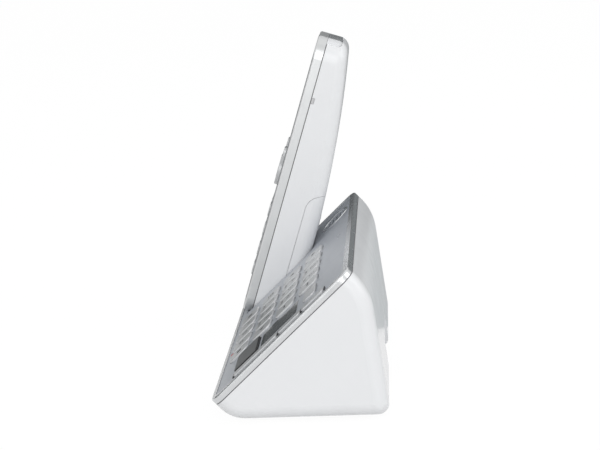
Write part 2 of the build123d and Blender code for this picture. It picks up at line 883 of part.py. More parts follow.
def make_handset_rear_shell(outer, inner):
    skin = (outer - inner) & hand_slab(bezel_depth, reach)
    groove = hand_slab(bezel_depth, bezel_depth + groove_height) - hand_body(groove_depth)
    shell = skin - groove - door_region(door_gap)
    tray = inner & hand_slab(tray_depth, tray_back)
    tray = tray & block(-reach, reach, -reach, door_length + bulkhead_thickness + door_gap, -reach, reach)
    wall = inner & hand_slab(tray_depth, reach)
    low = door_length + door_gap
    wall = wall & block(-reach, reach, low, low + bulkhead_thickness, -reach, reach)
    shell = shell + tray + wall
    for x, a in hand_posts():
        shell = shell - disc(hand_screw_diameter + 2.0 * fit_gap, x, a, -tray_back, -tray_depth)
    for x in contact_places():
        shell = shell - plate_pin(x, charge_plate_diameter + 2.0 * fit_gap)
    shell = shell - lamp_region(0.0)
    for side in (-1.0, 1.0):
        shell = shell - clip_notch(side * handset_width / 2.0)
    return hand_plane * shell


def clip_notch(x):
    """Shallow notch beside the seam, for the hook of a belt clip."""
    low = clip_notch_middle - clip_notch_length / 2.0
    back = -bezel_depth - clip_notch_width
    return block(x - clip_notch_depth, x + clip_notch_depth, low, low + clip_notch_length, back, -bezel_depth)


def plate_pin(x, diameter):
    """Round charge plate, set flush in the foot of the handset."""
    place = Pos(x, handset_wall / 2.0, -contact_depth)
    return place * Rot(90, 0, 0) * Cylinder(diameter / 2.0, handset_wall)


def lamp_region(inset):
    """Window across the top end of the handset, behind the seam with the bezel."""
    lamp_front = bezel_depth - 2.0 * lamp_corner
    outline = RectangleRounded(
        lamp_width - 2.0 * inset, lamp_rear - lamp_front - 2.0 * inset, lamp_corner - inset)
    start = Pos(0, handset_length - 2.0 * handset_back_radius, -(lamp_front + lamp_rear) / 2.0)
    window = start * Rot(-90, 0, 0) * extrude(outline, 4.0 * handset_back_radius)
    return window & hand_slab(bezel_depth + inset, reach)


def make_ringer_lamp(outer, inner):
    return hand_plane * ((outer - inner) & lamp_region(fit_gap))


def make_battery_door(outer, inner):
    return hand_plane * ((outer - inner) & door_region(0.0))


# Handset: inner pieces

def make_battery_cells():
    cells = []
    depth = -(tray_back + cell_gap + cell_diameter / 2.0)
    for side in (-1.0, 1.0):
        x = side * (cell_diameter + cell_gap) / 2.0
        can_place = Pos(x, cell_foot + cell_length / 2.0, depth)
        can = can_place * Rot(90, 0, 0) * Cylinder(cell_diameter / 2.0, cell_length)
        nub_start = cell_foot + cell_length if side > 0.0 else cell_foot - cell_nub_length
        nub_place = Pos(x, nub_start + cell_nub_length / 2.0, depth)
        nub = nub_place * Rot(90, 0, 0) * Cylinder(cell_nub_diameter / 2.0, cell_nub_length)
        cells.append(hand_plane * (can + nub))
    return cells


def make_handset_lens():
    return hand_plane * pad(
        hand_lens_width - 2.0 * fit_gap, hand_lens_length - 2.0 * fit_gap, hand_lens_corner,
        0, hand_lens_middle, -hand_lens_thickness, 0.0)


def make_handset_display():
    return hand_plane * pad(
        hand_lens_width - hand_lens_ledge, hand_lens_length - hand_lens_ledge, hand_lens_corner,
        0, hand_lens_middle, -hand_board_front, -handset_wall - fit_gap)


def make_handset_key_mat():
    half = hand_post_x - hand_post_diameter / 2.0 - fit_gap
    low = hand_post_places[0]
    high = pair_key_middle + pair_key_length / 2.0 + hand_key_lip
    mat = block(-half, half, low, high, -hand_board_front, -hand_mat_front)
    for _, caps in hand_key_list():
        for width, length, _, x, a, _ in caps:
            size = min(dome_diameter, width, length) - key_gap
            dome = disc(size, x, a, -hand_mat_front, -hand_mat_front + dome_height)
            base = disc(size, x, a, -hand_board_front, -hand_mat_front)
            mat = mat + dome + base
    return hand_plane * mat


def make_handset_board():
    half = handset_width / 2.0 - handset_wall - hand_board_side
    board = block(-half, half, hand_board_foot, hand_board_top, -hand_board_back, -hand_board_front)
    board = fillet(board.edges().filter_by(Axis.Z), handset_foot_corner - handset_wall - hand_board_side)
    for x, a in hand_posts():
        board = board - disc(hand_screw_diameter + 2.0 * fit_gap, x, a, -reach, reach)
    return hand_plane * board


def make_handset_screws():
    length = tray_back - hand_board_front + hand_screw_bite
    screw = make_screw(hand_screw_head_diameter, hand_screw_head_height, hand_screw_diameter, length)
    return [hand_plane * Pos(x, a, -tray_back) * screw for x, a in hand_posts()]


def make_earpiece():
    return hand_plane * disc(
        earpiece_diameter, 0, ear_middle, -handset_wall - earpiece_depth, -handset_wall)


def make_microphone():
    return hand_plane * disc(
        microphone_diameter, 0, microphone_middle, -handset_wall - microphone_depth, -handset_wall)


def make_charge_plates():
    return [hand_plane * plate_pin(x, charge_plate_diameter) for x in contact_places()]


# Assembly: every piece under its name

def build_parts():
    outer = base_body(0.0)
    inner = base_body(shell_wall)
    pocket = pocket_prism(0.0, -cradle_floor_gap)
    hand_outer = hand_body(0.0)
    hand_inner = hand_body(handset_wall)
    parts = {
        "base_shell": make_base_shell(outer, inner),
        "bottom_plate": make_bottom_plate(),
        "rubber_feet": make_feet(),
        "base_screws": make_base_screws(),
        "face_frame": make_face_frame(outer),
        "face_panel": make_face_panel(pocket),
        "handset_cradle": make_cradle(pocket),
        "cradle_contacts": make_cradle_contacts(),
        "display_lens": make_display_lens(),
        "display_module": make_display_module(),
        "base_key_mat": make_key_mat(),
        "base_circuit_board": make_base_board(),
        "base_speaker": make_base_speaker(),
        "handset_bezel": make_handset_bezel(hand_outer, hand_inner),
        "handset_rear_shell": make_handset_rear_shell(hand_outer, hand_inner),
        "battery_door": make_battery_door(hand_outer, hand_inner),
        "battery_cells": make_battery_cells(),
        "ringer_lamp": make_ringer_lamp(hand_outer, hand_inner),
        "handset_display_lens": make_handset_lens(),
        "handset_display_module": make_handset_display(),
        "handset_key_mat": make_handset_key_mat(),
        "handset_circuit_board": make_handset_board(),
        "handset_screws": make_handset_screws(),
        "earpiece": make_earpiece(),
        "microphone": make_microphone(),
        "charge_plates": make_charge_plates(),
    }
    for name, x, width, height in socket_spots():
        parts[name] = make_socket(x, width, height)
    for name, width, length, x, v, rise, lips in key_list():
        parts[name] = make_key(width, length, x, v, rise, lips)
    for name, caps in hand_key_list():
        parts[name] = make_hand_keys(caps)
    return parts


def write_parts(parts):
    os.makedirs("parts", exist_ok=True)
    for name, piece in parts.items():
        solids = piece if isinstance(piece, list) else [piece]
        loose = [solid for shape in solids for solid in shape.solids()]
        shape = loose[0] if len(loose) == 1 else Compound(children=loose)
        export_step(shape, f"parts/{name}.step")


write_parts(build_parts())
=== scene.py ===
# Cordless telephone: finishes, printed legends, small fittings and a plain studio.
# Metres, in the model's own frame: +Z is up, -Y is the user's side, +X is the user's right.
from collections import namedtuple
from math import cos, pi, radians, sin

import bmesh
import bpy
from mathutils import Matrix, Vector


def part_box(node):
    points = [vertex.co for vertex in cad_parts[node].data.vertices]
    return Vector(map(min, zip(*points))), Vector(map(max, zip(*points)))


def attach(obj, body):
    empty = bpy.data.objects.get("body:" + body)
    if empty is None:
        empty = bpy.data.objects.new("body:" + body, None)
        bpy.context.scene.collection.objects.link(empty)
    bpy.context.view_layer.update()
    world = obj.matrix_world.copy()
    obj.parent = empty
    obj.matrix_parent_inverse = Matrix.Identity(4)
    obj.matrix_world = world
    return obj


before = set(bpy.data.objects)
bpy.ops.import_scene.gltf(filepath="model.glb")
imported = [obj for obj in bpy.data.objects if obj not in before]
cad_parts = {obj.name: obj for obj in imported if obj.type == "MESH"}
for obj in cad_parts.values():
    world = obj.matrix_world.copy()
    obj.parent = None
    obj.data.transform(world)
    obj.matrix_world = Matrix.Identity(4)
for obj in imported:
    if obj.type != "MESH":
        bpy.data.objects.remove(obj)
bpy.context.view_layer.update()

MM = 0.001

# Slopes of the key face and of the standing handset, and the way out of either front
FACE = Matrix.Rotation(radians(42.7), 4, "X")
HAND = Matrix.Rotation(radians(71.5), 4, "X")
OUTWARD = Vector((0.0, 0.0, 1.0))

# Camera, solved from the edges of the base and the handset
VIEW_AZIMUTH = radians(3.952)
VIEW_ELEVATION = radians(12.80)
VIEW_ROLL = radians(-3.118)
VIEW_RIGHT = -7.911 * MM
VIEW_UP = 73.506 * MM
VIEW_DISTANCE = 749.847 * MM
VIEW_ORIGIN = Vector((0.0, 2.42 * MM, 0.10 * MM))
VIEW_LENS = 84.0
VIEW_SENSOR = 36.0
VIEW_NEAR = 0.01
VIEW_FAR = 100.0


# Shader sums and nodes

class Value:
    """A socket in a node tree. Sums with it add Math nodes."""

    def __init__(self, nodes, socket):
        self.nodes = nodes
        self.socket = socket

    def sum(self, operation, first, second=0.0):
        return self.nodes.node("Math", {"operation": operation}, {0: first, 1: second})

    def __add__(self, other):
        return self.sum("ADD", self, other)

    def __radd__(self, other):
        return self.sum("ADD", other, self)

    def __sub__(self, other):
        return self.sum("SUBTRACT", self, other)

    def __rsub__(self, other):
        return self.sum("SUBTRACT", other, self)

    def __mul__(self, other):
        return self.sum("MULTIPLY", self, other)

    def __rmul__(self, other):
        return self.sum("MULTIPLY", other, self)

    def __gt__(self, other):
        return self.sum("GREATER_THAN", self, other)

    def __lt__(self, other):
        return self.sum("LESS_THAN", self, other)

    def __abs__(self):
        return self.sum("ABSOLUTE", self)

    def most(self, other):
        return self.sum("MAXIMUM", self, other)

    def wave(self, pitch):
        """Distance from the middle of the nearest stripe, 0 to 0.5, for stripes a pitch apart."""
        return abs(self.sum("FRACT", self * (1.0 / pitch)) - 0.5)


class Nodes:
    """A node tree with its shader, and one way to add nodes and links to it."""

    def __init__(self, tree, shader):
        self.tree = tree
        self.shader = tree.nodes[shader]

    def put(self, target, value):
        if isinstance(value, Value):
            self.tree.links.new(value.socket, target)
        else:
            target.default_value = value

    def node(self, kind, settings, sockets, output=0):
        made = self.tree.nodes.new("ShaderNode" + kind)
        for key, value in settings.items():
            setattr(made, key, value)
        for key, value in sockets.items():
            self.put(made.inputs[key], value)
        return Value(self, made.outputs[output])

    def feed(self, sockets):
        for key, value in sockets.items():
            self.put(self.shader.inputs[key], value)


class Finish(Nodes):
    """A material: one Principled shader and the patterns that feed it."""

    def __init__(self, name, sockets):
        self.material = bpy.data.materials.new(name)
        self.material.use_nodes = True
        super().__init__(self.material.node_tree, "Principled BSDF")
        self.place = self.node("TexCoord", {}, {}, "Object")
        self.feed(sockets)

    def noise(self, scale, detail=2.0, roughness=0.5):
        sockets = {"Vector": self.place, "Scale": scale, "Detail": detail, "Roughness": roughness}
        return self.node("TexNoise", {}, sockets)

    def cells(self, scale):
        return self.node("TexVoronoi", {}, {"Vector": self.place, "Scale": scale})

    def axis(self, letter, axes):
        """One coordinate of the surface point, along the axes of a slope."""
        sockets = {"Vector": self.place, "Angle": -axes.to_euler().x}
        turned = self.node("VectorRotate", {"rotation_type": "X_AXIS"}, sockets)
        return self.node("SeparateXYZ", {}, {0: turned}, letter)

    def facing(self, direction):
        """1 where the surface faces the direction, 0 across it."""
        normal = self.node("TexCoord", {}, {}, "Normal")
        return self.node("VectorMath", {"operation": "DOT_PRODUCT"}, {0: normal, 1: direction}, "Value")

    def ramp(self, value, low, high):
        """0 below low, 1 above high, smooth between."""
        settings = {"interpolation_type": "SMOOTHSTEP"}
        return self.node("MapRange", settings, {"Value": value, "From Min": low, "From Max": high})

    def mix(self, factor, low, high):
        return self.node("Mix", {"data_type": "RGBA"}, {0: factor, 6: low, 7: high}, 2)

    def bump(self, height, strength, distance):
        sockets = {"Strength": strength, "Distance": distance, "Height": height}
        self.feed({"Normal": self.node("Bump", {}, sockets)})


def shade(color, amount=1.0):
    """The colour made lighter or darker, with full alpha."""
    return (*[min(1.0, part * amount) for part in color], 1.0)


# Finishes of the moulded cases and the trim

def gloss_moulding(name, color, roughness, spread, peel):
    """Injection-moulded gloss plastic: faint cloudiness, orange peel and handling haze."""
    finish = Finish(name, {"IOR": 1.48})
    cloud = finish.noise(28.0, detail=3.0)
    haze = finish.noise(90.0, detail=4.0, roughness=0.6)
    finish.feed({
        "Base Color": finish.mix(cloud, shade(color, 1.0 - spread), shade(color, 1.0 + spread)),
        "Roughness": roughness + (haze - 0.5) * 0.14,
    })
    finish.bump(finish.noise(620.0), strength=peel, distance=0.05 * MM)
    return finish


def silver_paint(name, color, roughness, metal):
    """Satin silver paint: fine flake, a soft mottle and a clear top coat."""
    finish = Finish(name, {"Metallic": metal, "Coat Weight": 0.25, "Coat Roughness": 0.12})
    flake = finish.cells(5200.0)
    mottle = finish.noise(140.0, detail=3.0)
    tone = flake * 0.5 + mottle * 0.5
    finish.feed({
        "Base Color": finish.mix(tone, shade(color, 0.93), shade(color, 1.06)),
        "Roughness": roughness + (mottle - 0.5) * 0.12,
    })
    finish.bump(flake, strength=0.10, distance=0.02 * MM)
    return finish


# The answer key's painted shade of the gap round the raised cap, a black band at its right and rear
# edges: where it ends at the right and at the rear, and where grey is full
ANSWER_SIDE_SHADE_BAND = (1.9 * MM, 2.5 * MM)
ANSWER_REAR_SHADE_BAND = (0.7 * MM, 1.0 * MM)


def answer_key_finish():
    """Dark smoked cap: grey on top, with painted shade of the gap round it: black on its sides and in a
    band at its right and rear edges.
    """
    black = shade((0.006, 0.006, 0.007))
    finish = Finish("answer_key_cap", {"Specular IOR Level": 0.3})
    high = local_box("answer_key", FACE)[1]
    flat = finish.ramp(finish.facing(FACE.to_3x3() @ OUTWARD), 0.96, 0.99)
    across = finish.ramp(high.x - finish.axis("X", FACE), *ANSWER_SIDE_SHADE_BAND)
    along = finish.ramp(high.y - finish.axis("Y", FACE), *ANSWER_REAR_SHADE_BAND)
    grain = finish.noise(900.0, detail=3.0)
    grey = finish.mix(grain, shade((0.115, 0.118, 0.122)), shade((0.145, 0.148, 0.152)))
    finish.feed({
        # Black on the cap's sides and in the band at its right and rear edges is painted shade of the gap
        # round the raised cap
        "Base Color": finish.mix(flat * across * along, black, grey),
        "Roughness": 0.36 + grain * 0.08,
    })
    finish.bump(grain, strength=0.06, distance=0.02 * MM)
    return finish


WINDOW_FADE = 0.4 * MM


def lens_finish(name, node, axes, border, color):
    """Smoked window: darker printed border, clear dark middle, fine scratches in the gloss."""
    finish = Finish(name, {"IOR": 1.49, "Coat Weight": 0.5, "Coat Roughness": 0.04})
    low, high = local_box(node, axes)
    middle = (low + high) / 2.0
    half = (high - low) / 2.0 - Vector((border, border, 0.0))
    across = half.x - abs(finish.axis("X", axes) - middle.x)
    along = half.y - abs(finish.axis("Y", axes) - middle.y)
    inside = finish.ramp(across, 0.0, WINDOW_FADE) * finish.ramp(along, 0.0, WINDOW_FADE)
    hair = finish.noise(320.0, detail=5.0, roughness=0.7)
    tint = finish.mix(hair, shade(color, 0.92), shade(color, 1.08))
    finish.feed({
        "Base Color": finish.mix(inside, shade(color, 0.35), tint),
        "Roughness": 0.10 + hair * 0.10,
    })
    return finish


PRISM_PITCH = 1.2 * MM


def lamp_finish():
    """Smoky lamp window with a half-silvered skin: cloudy, with fine prisms along the handset."""
    finish = Finish("ringer_lamp_smoke", {"Metallic": 0.7, "Coat Weight": 0.5, "Coat Roughness": 0.08})
    prism = finish.ramp(finish.axis("X", HAND).wave(PRISM_PITCH), 0.05, 0.45)
    cloud = finish.noise(160.0, detail=3.0)
    tone = prism * 0.6 + cloud * 0.4
    finish.feed({
        "Base Color": finish.mix(tone, shade((0.62, 0.63, 0.65)), shade((0.74, 0.75, 0.77))),
        "Roughness": 0.20 + cloud * 0.12,
    })
    return finish


# Finishes of the inner and lower pieces

def rubber_finish(name, color):
    """Matte silicone rubber: dusty tone and a fine dull grain."""
    finish = Finish(name, {"IOR": 1.42})
    dust = finish.noise(210.0, detail=4.0, roughness=0.6)
    grain = finish.noise(2600.0)
    finish.feed({
        "Base Color": finish.mix(dust, shade(color, 0.88), shade(color, 1.10)),
        "Roughness": 0.72 + dust * 0.16,
    })
    finish.bump(grain, strength=0.25, distance=0.03 * MM)
    return finish


def black_moulding():
    """Matte black plastic with a spark-eroded grain."""
    finish = Finish("black_fittings", {"IOR": 1.5})
    grain = finish.noise(3200.0, detail=3.0)
    wear = finish.noise(120.0, detail=4.0, roughness=0.6)
    finish.feed({
        "Base Color": finish.mix(wear, shade((0.016, 0.016, 0.017)), shade((0.034, 0.034, 0.036))),
        "Roughness": 0.48 + grain * 0.2,
    })
    finish.bump(grain, strength=0.3, distance=0.03 * MM)
    return finish


CLOTH_PITCH = 0.5 * MM


def speaker_cloth():
    """Black woven cloth stretched over the driver."""
    finish = Finish("speaker_cloth", {"IOR": 1.4})
    warp = finish.axis("X", FACE).wave(CLOTH_PITCH)
    weft = finish.axis("Y", FACE).wave(CLOTH_PITCH)
    weave = finish.ramp(warp * 0.5 + weft * 0.5, 0.08, 0.42)
    finish.feed({
        "Base Color": finish.mix(weave, shade((0.006, 0.006, 0.007)), shade((0.05, 0.05, 0.052))),
        "Roughness": 0.85 - weave * 0.1,
    })
    finish.bump(weave, strength=0.6, distance=0.1 * MM)
    return finish


TRACK_PITCH = 2.4 * MM


def board_finish(name, axes):
    """Green solder mask with copper tracks under it and bare pads."""
    finish = Finish(name, {"IOR": 1.5, "Coat Weight": 0.3, "Coat Roughness": 0.15})
    tin = shade((0.62, 0.60, 0.55))
    across = finish.ramp(finish.axis("X", axes).wave(TRACK_PITCH), 0.33, 0.37)
    along = finish.ramp(finish.axis("Y", axes).wave(TRACK_PITCH), 0.33, 0.37)
    patch = finish.noise(75.0, detail=0.0)
    tracks = across * (patch > 0.5) + along * (patch < 0.5)
    pads = finish.cells(210.0) < 0.16
    mask = finish.mix(tracks, shade((0.012, 0.095, 0.045)), shade((0.03, 0.17, 0.075)))
    finish.feed({
        "Base Color": finish.mix(pads, mask, tin),
        "Roughness": 0.42 - tracks * 0.08,
        "Metallic": pads * 0.8,
    })
    finish.bump(tracks + pads, strength=0.3, distance=0.05 * MM)
    return finish


def plated_metal(name, color, roughness):
    """Plated metal: turning marks and a slightly uneven shine."""
    finish = Finish(name, {"Metallic": 1.0})
    cloud = finish.noise(420.0, detail=4.0, roughness=0.6)
    marks = finish.noise(5200.0, detail=1.0)
    finish.feed({
        "Base Color": finish.mix(cloud, shade(color, 0.84), shade(color, 1.08)),
        "Roughness": roughness + (cloud - 0.5) * 0.2,
    })
    finish.bump(marks, strength=0.15, distance=0.02 * MM)
    return finish


DOT_PITCH = 0.55 * MM


def liquid_crystal(name, axes):
    """Unlit display cell: grey-green with the faint grid of its dots."""
    finish = Finish(name, {"IOR": 1.5, "Coat Weight": 0.3, "Coat Roughness": 0.1})
    across = finish.ramp(finish.axis("X", axes).wave(DOT_PITCH), 0.36, 0.42)
    along = finish.ramp(finish.axis("Y", axes).wave(DOT_PITCH), 0.36, 0.42)
    drift = finish.noise(60.0)
    cell = finish.mix(drift, shade((0.20, 0.225, 0.20)), shade((0.25, 0.275, 0.245)))
    finish.feed({
        "Base Color": finish.mix((across + along) * 0.5, cell, shade((0.30, 0.33, 0.30))),
        "Roughness": 0.25 + drift * 0.15,
    })
    return finish


SLEEVE_END = 3.0 * MM


def cell_sleeve():
    """Green heat-shrink sleeve with a pale band at each cell's ends."""
    finish = Finish("cell_sleeve", {"IOR": 1.5})
    low, high = local_box("battery_cells", HAND)
    from_middle = abs(finish.axis("Y", HAND) - (low.y + high.y) / 2.0)
    band = from_middle > (high.y - low.y) / 2.0 - SLEEVE_END
    wrinkle = finish.noise(380.0, detail=3.0)
    green = finish.mix(wrinkle, shade((0.035, 0.16, 0.07)), shade((0.055, 0.21, 0.09)))
    finish.feed({
        "Base Color": finish.mix(band, green, shade((0.58, 0.58, 0.56))),
        "Roughness": 0.32 + wrinkle * 0.15,
    })
    finish.bump(wrinkle, strength=0.2, distance=0.05 * MM)
    return finish


def ink_finish(name, color):
    """Screen-printed ink: slightly uneven cover with a dull sheen."""
    finish = Finish(name, {"IOR": 1.45})
    cover = finish.noise(2400.0, detail=3.0, roughness=0.6)
    finish.feed({
        "Base Color": finish.mix(cover, shade(color, 0.8), shade(color, 1.2)),
        "Roughness": 0.5 + cover * 0.15,
    })
    return finish


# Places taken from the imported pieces

def local_points(node, axes):
    """A piece's points along the axes of a slope."""
    inverse = axes.inverted()
    return [inverse @ corner.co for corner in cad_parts[node].data.vertices]


def corners(points):
    """Lowest and highest corner of a box round the points."""
    low = Vector([min(point[part] for point in points) for part in range(3)])
    high = Vector([max(point[part] for point in points) for part in range(3)])
    return low, high


def local_box(node, axes):
    """Lowest and highest corner of a piece along the axes of a slope."""
    return corners(local_points(node, axes))


def top_box(node, axes, depth):
    """Lowest and highest corner of a key's top, down to a depth, along the axes of its slope."""
    points = local_points(node, axes)
    height = max(point.z for point in points)
    return corners([point for point in points if point.z > height - depth])


# New pieces

def object_from(shape, name, finish):
    """Turns a shape into an object of one finish."""
    mesh = bpy.data.meshes.new(name)
    shape.to_mesh(mesh)
    shape.free()
    mesh.materials.append(finish.material)
    made = bpy.data.objects.new(name, mesh)
    bpy.context.scene.collection.objects.link(made)
    return made


def piece_from(shape, name, finish, body):
    """Turns a shape into a piece that rides on a body."""
    bmesh.ops.recalc_face_normals(shape, faces=shape.faces)
    piece = object_from(shape, name, finish)
    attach(piece, body)


# Printed legends: thin closed solids that lie on the key caps

INK = 0.03 * MM
CAP_SKIN = 0.05 * MM
TEXT_STEPS = 4

DIGITS = (("1", "2", "3"), ("4", "5", "6"), ("7", "8", "9"), ("*", "0", "#"))
LETTERS = (("", "ABC", "DEF"), ("GHI", "JKL", "MNO"), ("PQRS", "TUV", "WXYZ"), ("", "", ""))
LEFT_SYMBOLS = ("up", "down", "menu", "pause")
RIGHT_SYMBOLS = ("dots", "minus", "play", "stop")
DIGIT_SIZE = 5.6 * MM
LETTER_SIZE = 2.4 * MM
HAND_DIGIT_SIZE = 4.4 * MM
HAND_LETTER_SIZE = 1.7 * MM
HAND_KEY_PITCH = 12.4 * MM
CALL_MARK_SIZE = 1.6

# Heights of the text's middle on a cap, as shares of the digit's size
DIGIT_RISE = 0.28
LETTER_DROP = -0.62
LONE_DIGIT_DROP = -0.02

# A plate of a symbol: sides, radius and place in millimetres, turn in degrees, stretch
Plate = namedtuple("Plate", "sides radius turn x y wide tall", defaults=(0.0, 0.0, 0.0, 1.0, 1.0))
ARROW, BAR, DOT = 3, 4, 24
SQUARE_ON = 45.0
SYMBOLS = {
    "up": [Plate(ARROW, 2.0, y=-0.3)],
    "down": [Plate(ARROW, 2.0, turn=180.0, y=0.3)],
    "play": [Plate(ARROW, 2.0, turn=270.0, x=-0.3)],
    "stop": [Plate(BAR, 2.1, SQUARE_ON)],
    "pause": [Plate(BAR, 1.2, SQUARE_ON, x=column, wide=0.8, tall=1.9) for column in (-1.1, 1.1)],
    "minus": [Plate(BAR, 1.0, SQUARE_ON, wide=2.6, tall=0.7)],
    "menu": [Plate(BAR, 1.0, SQUARE_ON, y=row, wide=2.8, tall=0.5) for row in (-1.6, 0.0, 1.6)],
    "dots": [Plate(DOT, 0.7, x=column) for column in (-2.0, 0.0, 2.0)],
    "call": [Plate(DOT, 1.0, wide=1.5, tall=0.9)],
    "steer": [
        Plate(ARROW, 1.1, y=6.2),
        Plate(ARROW, 1.1, turn=180.0, y=-6.2),
        Plate(ARROW, 1.1, turn=90.0, x=-6.2),
        Plate(ARROW, 1.1, turn=270.0, x=6.2),
    ],
}


def text_shape(shape, words, size, x, y):
    """Adds a line of text to a flat shape, centred on x and y."""
    line = bpy.data.curves.new("line", "FONT")
    line.body = words
    line.size = size
    line.align_x = "CENTER"
    line.align_y = "CENTER"
    line.extrude = INK
    line.resolution_u = TEXT_STEPS
    holder = bpy.data.objects.new("line", line)
    mesh = bpy.data.meshes.new_from_object(holder)
    mesh.transform(Matrix.Translation((x, y, 0.0)))
    shape.from_mesh(mesh)
    bpy.data.objects.remove(holder)
    bpy.data.curves.remove(line)
    bpy.data.meshes.remove(mesh)


def digit_shape(shape, digit, letters, size, small, x=0.0):
    """A digit with its letters under it, or a digit alone in the middle of the cap."""
    if letters:
        text_shape(shape, digit, size, x, DIGIT_RISE * size)
        text_shape(shape, letters, small, x, LETTER_DROP * size)
    else:
        text_shape(shape, digit, size, x, LONE_DIGIT_DROP * size)


def plate_shape(shape, plate, size=1.0):
    """Adds a thin regular plate: a triangle, a bar or a dot."""
    place = Matrix.Translation((plate.x * size * MM, plate.y * size * MM, -INK))
    stretch = Matrix.Diagonal((plate.wide, plate.tall, 1.0, 1.0))
    turn = Matrix.Rotation(radians(plate.turn), 4, "Z")
    ring = bmesh.ops.create_circle(
        shape, cap_ends=True, segments=plate.sides, radius=plate.radius * size * MM,
        matrix=place @ stretch @ turn)
    face = ring["verts"][0].link_faces[0]
    raised = bmesh.ops.extrude_face_region(shape, geom=[face], use_keep_orig=True)
    moved = [part for part in raised["geom"] if isinstance(part, bmesh.types.BMVert)]
    bmesh.ops.translate(shape, verts=moved, vec=(0.0, 0.0, 2.0 * INK))


def symbol_shape(shape, kind, size=1.0):
    for plate in SYMBOLS[kind]:
        plate_shape(shape, plate, size)


def lay_legend(shape, node, axes, ink):
    """Lays a legend on a key's flat top, to move with that key."""
    low, high = top_box(node, axes, CAP_SKIN)
    place = axes @ Matrix.Translation((low + high) / 2.0)
    bmesh.ops.transform(shape, matrix=place, verts=shape.verts)
    piece_from(shape, f"legend_{node}", ink, node)


def base_legends(ink):
    for row, (digits, letters) in enumerate(zip(DIGITS, LETTERS)):
        for column in range(5):
            shape = bmesh.new()
            if column == 0:
                symbol_shape(shape, LEFT_SYMBOLS[row])
            elif column == 4:
                symbol_shape(shape, RIGHT_SYMBOLS[row])
            else:
                digit_shape(shape, digits[column - 1], letters[column - 1], DIGIT_SIZE, LETTER_SIZE)
            lay_legend(shape, f"key_row{row + 1}_col{column + 1}", FACE, ink)


def handset_legends(ink, green, red):
    for row, (digits, letters) in enumerate(zip(DIGITS, LETTERS)):
        shape = bmesh.new()
        for column in range(3):
            x = (column - 1) * HAND_KEY_PITCH
            digit_shape(shape, digits[column], letters[column], HAND_DIGIT_SIZE, HAND_LETTER_SIZE, x)
        lay_legend(shape, f"handset_dial_row_{row + 1}", HAND, ink)
    for node, finish in (("talk_key", green), ("end_key", red)):
        shape = bmesh.new()
        symbol_shape(shape, "call", CALL_MARK_SIZE)
        lay_legend(shape, node, HAND, finish)
    shape = bmesh.new()
    symbol_shape(shape, "steer")
    lay_legend(shape, "navigation_key", HAND, ink)


# Small fittings

BEVEL_STEPS = 3


def round_edges(shape, edges, radius, steps=BEVEL_STEPS):
    return bmesh.ops.bevel(
        shape, geom=edges, offset=radius, affect="EDGES", segments=steps, profile=0.5, material=-1)


def rounded_bar(shape, size, place, radius):
    """A block with rounded edges, added to a shape."""
    made = bmesh.ops.create_cube(shape, size=1.0)
    bmesh.ops.scale(shape, vec=size, verts=made["verts"])
    edges = {edge for corner in made["verts"] for edge in corner.link_edges}
    cut = round_edges(shape, list(edges), radius)
    bmesh.ops.transform(shape, matrix=place, verts=cut["verts"])


# Door ribs: distances up from the door's foot, and how far each middle lies under the door's face
GRIP_SPOTS = (54.0 * MM, 57.0 * MM, 60.0 * MM)
GRIP_SIZE = Vector((14.0, 1.1, 1.0)) * MM
GRIP_EDGE = 0.4 * MM
GRIP_SINK = 0.15 * MM


def door_grip(finish):
    """Three finger ribs across the battery door, each set square on its back face."""
    low, high = local_box("battery_door", HAND)
    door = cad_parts["battery_door"]
    to_front = HAND.to_3x3() @ OUTWARD
    across = Vector((1.0, 0.0, 0.0))
    shape = bmesh.new()
    for spot in GRIP_SPOTS:
        behind = HAND @ Vector(((low.x + high.x) / 2.0, low.y + spot, low.z - GRIP_SIZE.x))
        _, hit, normal, _ = door.ray_cast(behind, to_front)
        turn = Matrix((across, normal.cross(across), normal)).transposed().to_4x4()
        rounded_bar(shape, GRIP_SIZE, Matrix.Translation(hit - normal * GRIP_SINK) @ turn, GRIP_EDGE)
    piece_from(shape, "battery_door_grip", finish, "handset")


# Socket wires and pin: setbacks are from the socket's mouth
WIRE_COUNT = 4
WIRE_PITCH = 1.27 * MM
WIRE_SIZE = Vector((0.5, 8.0, 0.5)) * MM
WIRE_EDGE = 0.15 * MM
WIRE_LEAN = Matrix.Rotation(radians(20.0), 4, "X")
WIRE_SETBACK = 5.6 * MM
WIRE_RISE = 0.8 * MM


def line_socket_wires(finish):
    """Sprung wires that lean back in the line socket."""
    low, high = (Vector(corner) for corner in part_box("line_socket"))
    middle = (low + high) / 2.0
    shape = bmesh.new()
    for number in range(WIRE_COUNT):
        x = middle.x + (number - (WIRE_COUNT - 1) / 2.0) * WIRE_PITCH
        place = Matrix.Translation((x, high.y - WIRE_SETBACK, middle.z + WIRE_RISE))
        rounded_bar(shape, WIRE_SIZE, place @ WIRE_LEAN, WIRE_EDGE)
    piece_from(shape, "line_socket_wires", finish, "base")


PIN_RADIUS = 0.65 * MM
PIN_LENGTH = 7.5 * MM
PIN_EDGE = 0.25 * MM
PIN_SETBACK = 1.2 * MM
PIN_SIDES = 32


def power_socket_pin(finish):
    """Round pin in the middle of the power socket."""
    low, high = (Vector(corner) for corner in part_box("power_socket"))
    middle = (low + high) / 2.0
    place = Matrix.Translation((middle.x, high.y - PIN_SETBACK - PIN_LENGTH / 2.0, middle.z))
    lie_down = Matrix.Rotation(radians(90.0), 4, "X")
    shape = bmesh.new()
    bmesh.ops.create_cone(
        shape, cap_ends=True, segments=PIN_SIDES, radius1=PIN_RADIUS, radius2=PIN_RADIUS,
        depth=PIN_LENGTH, matrix=place @ lie_down)
    rims = {edge for face in shape.faces if len(face.verts) == PIN_SIDES for edge in face.edges}
    round_edges(shape, list(rims), PIN_EDGE)
    piece_from(shape, "power_socket_pin", finish, "base")


